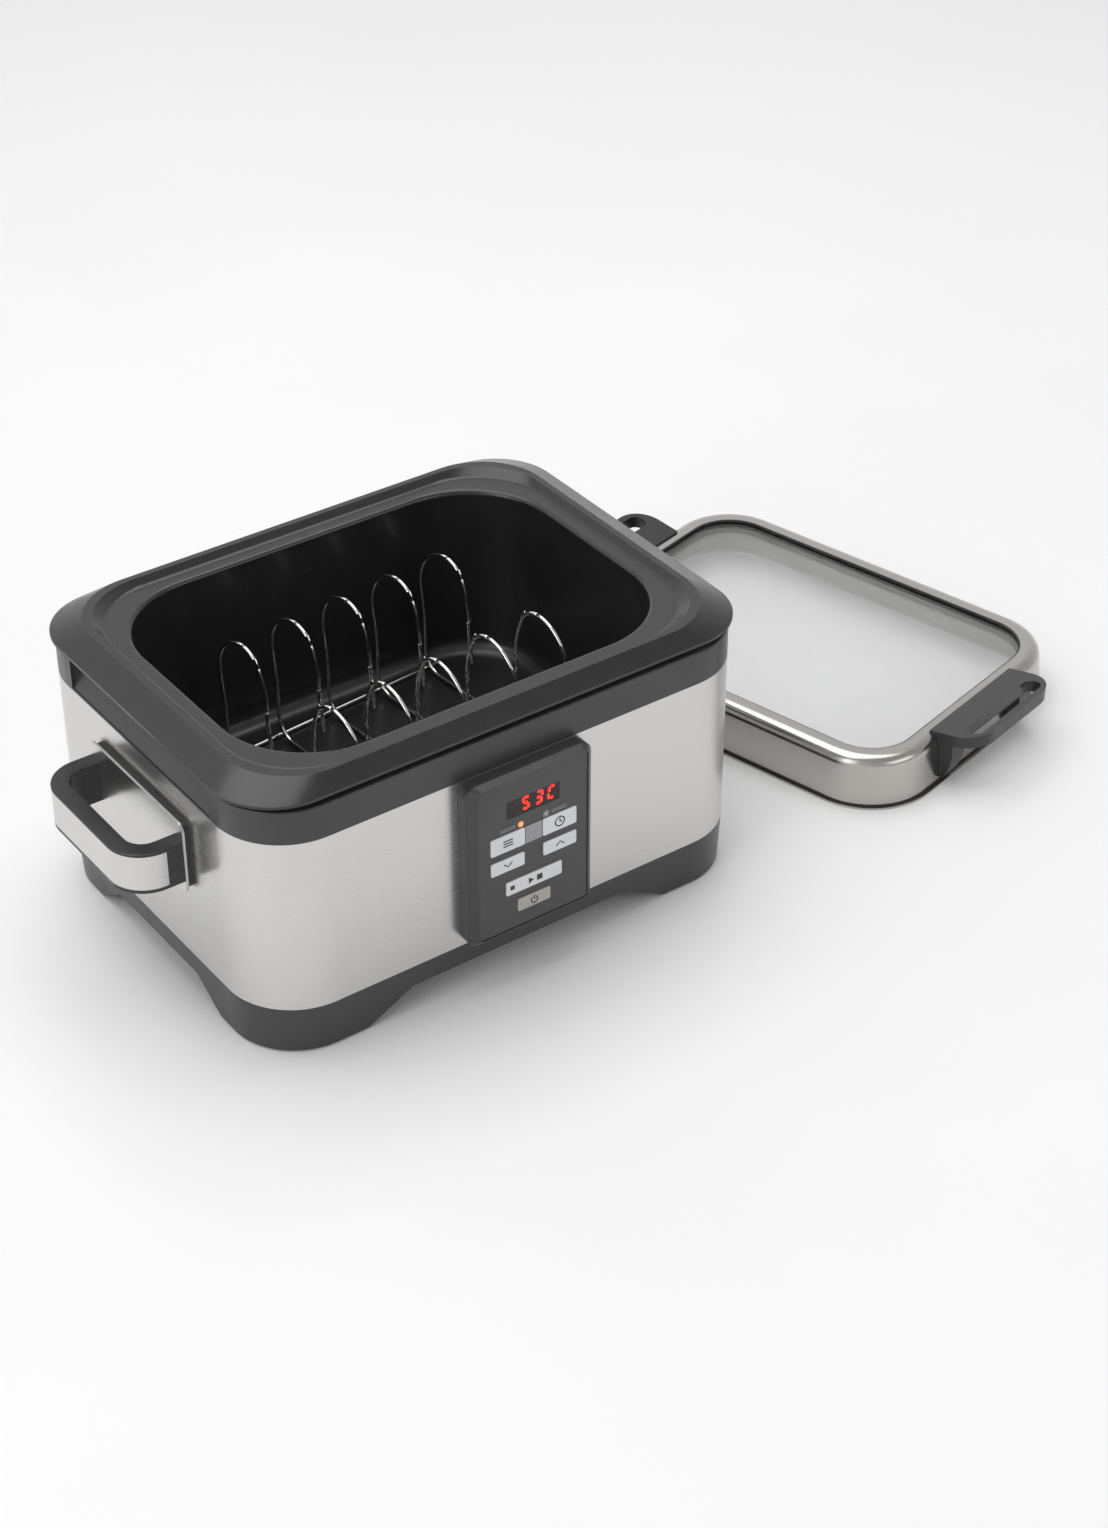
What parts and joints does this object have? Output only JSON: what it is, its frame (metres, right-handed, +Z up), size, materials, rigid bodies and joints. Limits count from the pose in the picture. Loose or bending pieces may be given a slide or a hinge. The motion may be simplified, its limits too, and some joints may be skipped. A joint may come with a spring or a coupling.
{
  "type": "slow cooker",
  "caption": "Rectangular countertop slow cooker with keypad and display, lift-out pot, wire pouch rack, side handles, and its glass lid lying beside it",
  "frame": {"origin": "on the surface the cooker stands on, under the middle of its body", "axes": "+X along the front, to the right as seen from the front; -Y towards the control panel; +Z up"},
  "size_m": [0.7074, 0.3684, 0.191],
  "materials": {
    "dark_plastic": "fine textured moulding",
    "rubber": "smooth",
    "zinc_steel": "zinc plated",
    "brushed_steel": "fine brushing along the walls",
    "liner_metal": "plain sheet",
    "cast_aluminium": "as cast",
    "element_sheath": "heat darkened",
    "ceramic": "glazed",
    "panel_grey": "satin film",
    "display_glass": "dark tinted",
    "lit_red": "lit segments",
    "strip_silver": "satin",
    "lit_orange": "lit lamp",
    "lamp_clear": "unlit lamp",
    "lamp_dark": "unlit lamp",
    "circuit_board": "solder mask",
    "pot_coating": "satin non-stick coating",
    "polished_wire": "polished",
    "lid_steel": "satin polished",
    "clear_glass": "clear",
    "black_plastic": "satin moulding",
    "key_silver": "satin silver",
    "key_warm_grey": "satin"
  },
  "bodies": {
    "base": {"base_tray": "dark_plastic", "foot_pads": "rubber", "tie_bolts": "zinc_steel", "tie_nuts": "zinc_steel", "outer_shell": "brushed_steel", "cord_gland": "dark_plastic", "top_bezel": "dark_plastic", "heater_liner": "liner_metal", "heater_plate": "cast_aluminium", "heating_element": "element_sheath", "element_bushes": "ceramic", "element_tabs": "zinc_steel", "sensor_spring": "zinc_steel", "thermal_fuse": "zinc_steel", "panel_housing": "dark_plastic", "panel_overlay": "panel_grey", "display_window": "display_glass", "display_digits": "lit_red", "display_module": "dark_plastic", "key_strip": "strip_silver", "sous_vide_lamp": "lit_orange", "slow_cook_lamp": "lamp_clear", "key_switches": "dark_plastic", "control_board": "circuit_board", "power_board": "circuit_board", "power_parts": "dark_plastic", "board_screws": "zinc_steel", "handle_screws": "zinc_steel", "left_handle_grip": "black_plastic", "left_handle_band": "brushed_steel", "left_handle_plate": "brushed_steel", "left_handle_spacer": "black_plastic", "right_handle_grip": "black_plastic", "right_handle_band": "brushed_steel", "right_handle_plate": "brushed_steel", "right_handle_spacer": "black_plastic"},
    "pot": {"cooking_pot": "pot_coating"},
    "rack": {"rack_dividers": "polished_wire", "rack_rods": "polished_wire"},
    "lid": {"lid_frame": "lid_steel", "lid_glass": "clear_glass", "lid_gasket": "rubber", "lid_seal": "rubber", "lid_near_grip": "black_plastic", "lid_far_grip": "black_plastic", "lid_screws": "zinc_steel"},
    "menu_key": {"menu_key": "key_silver"},
    "time_key": {"time_key": "key_silver"},
    "down_key": {"down_key": "key_silver"},
    "up_key": {"up_key": "key_silver"},
    "start_key": {"start_key": "key_silver", "start_lamp": "lamp_dark"},
    "power_key": {"power_key": "key_warm_grey"},
    "sensor": {"temperature_sensor": "cast_aluminium"}
  },
  "joints": [
    {"name": "pot_lift", "type": "slide", "parent": "base", "child": "pot", "axis": [0, 0, 1], "range_m": [0, 0.2]},
    {"name": "rack_lift", "type": "slide", "parent": "pot", "child": "rack", "axis": [0, 0, 1], "range_m": [0, 0.2]},
    {"name": "lid_lift", "type": "slide", "parent": "base", "child": "lid", "axis": [0, 0, 1], "range_m": [0, 0.25]},
    {"name": "menu_press", "type": "slide", "parent": "base", "child": "menu_key", "axis": [0, 1, 0], "range_m": [0, 0.0005], "stiffness_N_per_m": 1200, "springref_m": -0.0005},
    {"name": "time_press", "type": "slide", "parent": "base", "child": "time_key", "axis": [0, 1, 0], "range_m": [0, 0.0005], "stiffness_N_per_m": 1200, "springref_m": -0.0005},
    {"name": "down_press", "type": "slide", "parent": "base", "child": "down_key", "axis": [0, 1, 0], "range_m": [0, 0.0005], "stiffness_N_per_m": 1200, "springref_m": -0.0005},
    {"name": "up_press", "type": "slide", "parent": "base", "child": "up_key", "axis": [0, 1, 0], "range_m": [0, 0.0005], "stiffness_N_per_m": 1200, "springref_m": -0.0005},
    {"name": "start_press", "type": "slide", "parent": "base", "child": "start_key", "axis": [0, 1, 0], "range_m": [0, 0.0005], "stiffness_N_per_m": 1200, "springref_m": -0.0005},
    {"name": "power_press", "type": "slide", "parent": "base", "child": "power_key", "axis": [0, 1, 0], "range_m": [0, 0.0005], "stiffness_N_per_m": 1200, "springref_m": -0.0005},
    {"name": "sensor_press", "type": "slide", "parent": "base", "child": "sensor", "axis": [0, 0, -1], "range_m": [0, 0.002], "stiffness_N_per_m": 400, "springref_m": -0.003, "deforming": ["sensor_spring"]}
  ]
}
